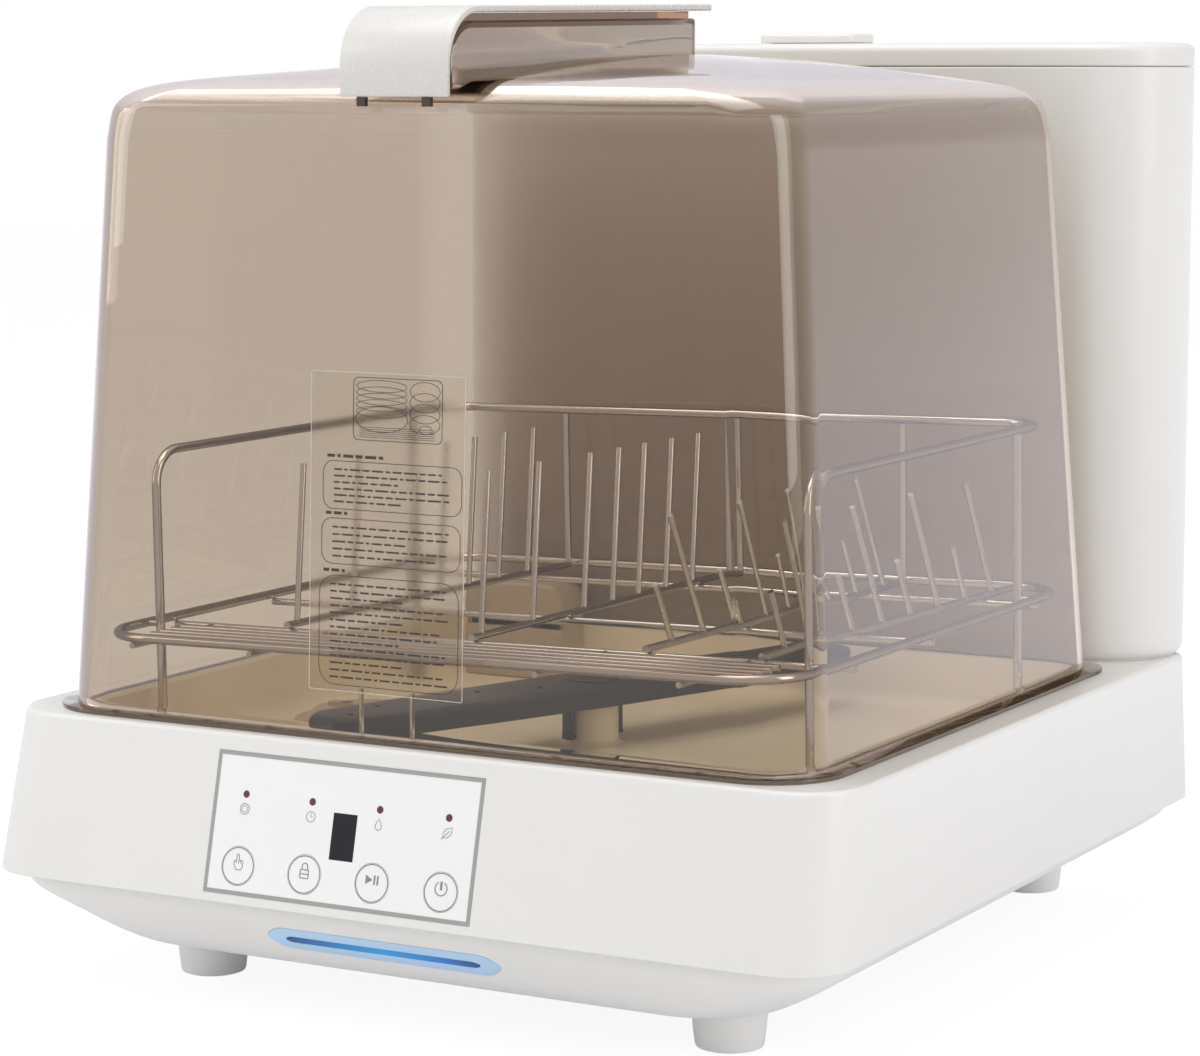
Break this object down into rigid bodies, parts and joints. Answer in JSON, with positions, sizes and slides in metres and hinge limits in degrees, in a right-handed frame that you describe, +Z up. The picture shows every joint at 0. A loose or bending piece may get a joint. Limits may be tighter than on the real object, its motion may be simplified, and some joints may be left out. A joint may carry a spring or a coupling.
{
  "type": "countertop dishwasher",
  "caption": "Compact countertop dishwasher with a clear smoke lift-off hood, wire dish rack, spray arm, sloping touch panel and a lift-off rear water tank.",
  "frame": {"origin": "on the counter, under the middle of the base", "axes": "+X to the right when facing the panel, +Y to the rear, +Z up"},
  "size_m": [0.42, 0.424, 0.4381],
  "materials": {
    "casing": "smooth white ABS",
    "foot": "warm grey rubber",
    "steel": "bright drawn stainless wire",
    "screw": "zinc-plated steel",
    "tub": "cream polypropylene",
    "pump": "grey glass-filled nylon",
    "motor": "dark painted steel can",
    "hose": "grey rubber",
    "heater": "die-cast aluminium",
    "board": "green circuit board",
    "overlay": "white printed film",
    "border": "grey print",
    "window": "black display lens",
    "lamp": "unlit tinted light pipe",
    "light_pad": "frosted light-blue pad",
    "light_bar": "lit blue light bar",
    "arm": "dark grey polypropylene",
    "white_part": "white acetal",
    "hood": "clear smoke-brown polycarbonate",
    "film": "clear satin film",
    "clip": "dark brown plastic",
    "boot": "beige silicone",
    "poppet": "orange silicone",
    "spring": "stainless spring wire",
    "seal": "black rubber",
    "sensor": "black sensor body"
  },
  "bodies": {
    "base": {"base_shell": "casing", "belly_tray": "casing", "foot_front_left": "foot", "foot_front_right": "foot", "foot_rear_left": "foot", "foot_rear_right": "foot", "foot_screws": "screw", "case_screws": "screw", "wash_tub": "tub", "inlet_tower": "tub", "sump_cup": "tub", "wash_pump_case": "pump", "wash_motor": "motor", "drain_pump_case": "pump", "feed_pipe": "white_part", "drain_hose": "hose", "drain_outlet": "white_part", "heater_plate": "heater", "power_board": "board", "mains_gland": "white_part", "lid_sensor": "sensor", "panel_overlay": "overlay", "panel_border": "border", "display_window": "window", "mode_lamps": "lamp", "control_board": "board", "light_pad": "light_pad", "light_bar": "light_bar", "light_board": "board", "tank_coupler": "white_part", "spray_bearing": "white_part"},
    "hood": {"hood_shell": "hood", "handle_cap": "casing", "handle_clips": "clip", "info_film": "film"},
    "rack": {"rack_ring": "steel", "rack_rail": "steel", "rack_boots": "boot", "front_wires": "steel", "cross_wires": "steel", "plate_row_left": "steel", "plate_row_middle": "steel", "bowl_row_middle": "steel", "bowl_row_right": "steel"},
    "tank": {"tank_body": "casing", "tank_cover": "casing", "tank_valve": "white_part", "valve_seal": "seal", "valve_spring": "spring"},
    "spray": {"spray_arm": "arm"},
    "filter": {"filter_cup": "tub"},
    "filler": {"filler_cap": "casing"},
    "poppet": {"valve_poppet": "poppet"},
    "wash_wheel": {"wash_impeller": "pump"},
    "drain_wheel": {"drain_impeller": "pump"},
    "key_select": {"key_select": "casing"},
    "key_lock": {"key_lock": "casing"},
    "key_start": {"key_start": "casing"},
    "key_power": {"key_power": "casing"}
  },
  "joints": [
    {"name": "hood_lift", "type": "slide", "parent": "base", "child": "hood", "axis": [0, 0, 1], "range_m": [0, 0.32]},
    {"name": "rack_lift", "type": "slide", "parent": "base", "child": "rack", "axis": [0, 0, 1], "range_m": [0, 0.035]},
    {"name": "spray_spin", "type": "hinge", "parent": "base", "child": "spray", "pos_m": [0, -0.02, 0.123], "axis": [0, 0, 1], "continuous": true},
    {"name": "filter_twist", "type": "hinge", "parent": "base", "child": "filter", "pos_m": [-0.118, -0.03, 0.08], "axis": [0, 0, 1], "range_deg": [0, 45]},
    {"name": "tank_lift", "type": "slide", "parent": "base", "child": "tank", "axis": [0, 0, 1], "range_m": [0, 0.3]},
    {"name": "filler_lift", "type": "slide", "parent": "tank", "child": "filler", "axis": [0, 0, 1], "range_m": [0, 0.04]},
    {"name": "valve_slide", "type": "slide", "parent": "tank", "child": "poppet", "axis": [0, 0, 1], "range_m": [0, 0.002], "stiffness_N_per_m": 300, "springref_m": -0.003, "deforming": ["valve_spring"]},
    {"name": "wash_spin", "type": "hinge", "parent": "base", "child": "wash_wheel", "pos_m": [-0.118, 0.03, 0.062], "axis": [0, 1, 0], "continuous": true},
    {"name": "drain_spin", "type": "hinge", "parent": "base", "child": "drain_wheel", "pos_m": [-0.118, -0.09, 0.062], "axis": [0, 1, 0], "continuous": true},
    {"name": "key_select_press", "type": "slide", "parent": "base", "child": "key_select", "axis": [0, 0.9729, -0.2313], "range_m": [0, 0.0005], "stiffness_N_per_m": 3000, "springref_m": -0.0002},
    {"name": "key_lock_press", "type": "slide", "parent": "base", "child": "key_lock", "axis": [0, 0.9729, -0.2313], "range_m": [0, 0.0005], "stiffness_N_per_m": 3000, "springref_m": -0.0002},
    {"name": "key_start_press", "type": "slide", "parent": "base", "child": "key_start", "axis": [0, 0.9729, -0.2313], "range_m": [0, 0.0005], "stiffness_N_per_m": 3000, "springref_m": -0.0002},
    {"name": "key_power_press", "type": "slide", "parent": "base", "child": "key_power", "axis": [0, 0.9729, -0.2313], "range_m": [0, 0.0005], "stiffness_N_per_m": 3000, "springref_m": -0.0002}
  ]
}
